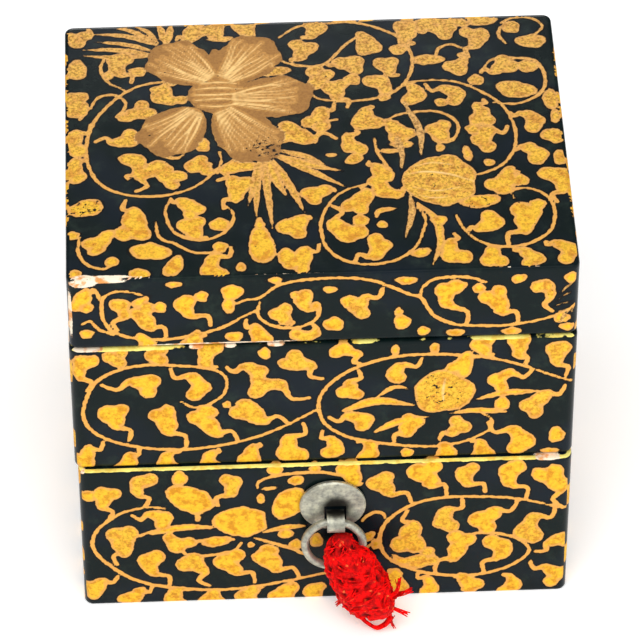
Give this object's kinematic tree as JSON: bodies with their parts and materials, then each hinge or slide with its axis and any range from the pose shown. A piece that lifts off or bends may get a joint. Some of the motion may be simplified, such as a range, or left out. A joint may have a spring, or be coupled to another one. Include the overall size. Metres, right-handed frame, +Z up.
{
  "type": "lacquer stacking box",
  "caption": "Small rectangular lacquered box of stacked trays under a lift-off lid, with a drop ring and a tassel on the front of the base.",
  "frame": {"origin": "middle of the base tray's flat underside", "axes": "+Z up, the front with the drop ring looks towards -Y, +X is on the right of the front"},
  "size_m": [0.0962, 0.0865, 0.0862],
  "materials": {
    "black_lacquer": "black urushi lacquer over a wood core, with painted gold scrolls",
    "grey_metal": "aged, mottled pewter grey",
    "red_thread": "matt silk thread, netted and frayed"
  },
  "bodies": {
    "box": {"base_tier": "black_lacquer", "middle_tier": "black_lacquer", "lid": "black_lacquer", "ring_back_plate": "grey_metal", "ring_eye": "grey_metal"},
    "drop_ring": {"pull_ring": "grey_metal", "tassel": "red_thread"}
  },
  "joints": [
    {"name": "ring_swing", "type": "hinge", "parent": "box", "child": "drop_ring", "pos_m": [0.0021, -0.04035, 0.0243], "axis": [-1, 0, 0], "range_deg": [0, 90]}
  ]
}
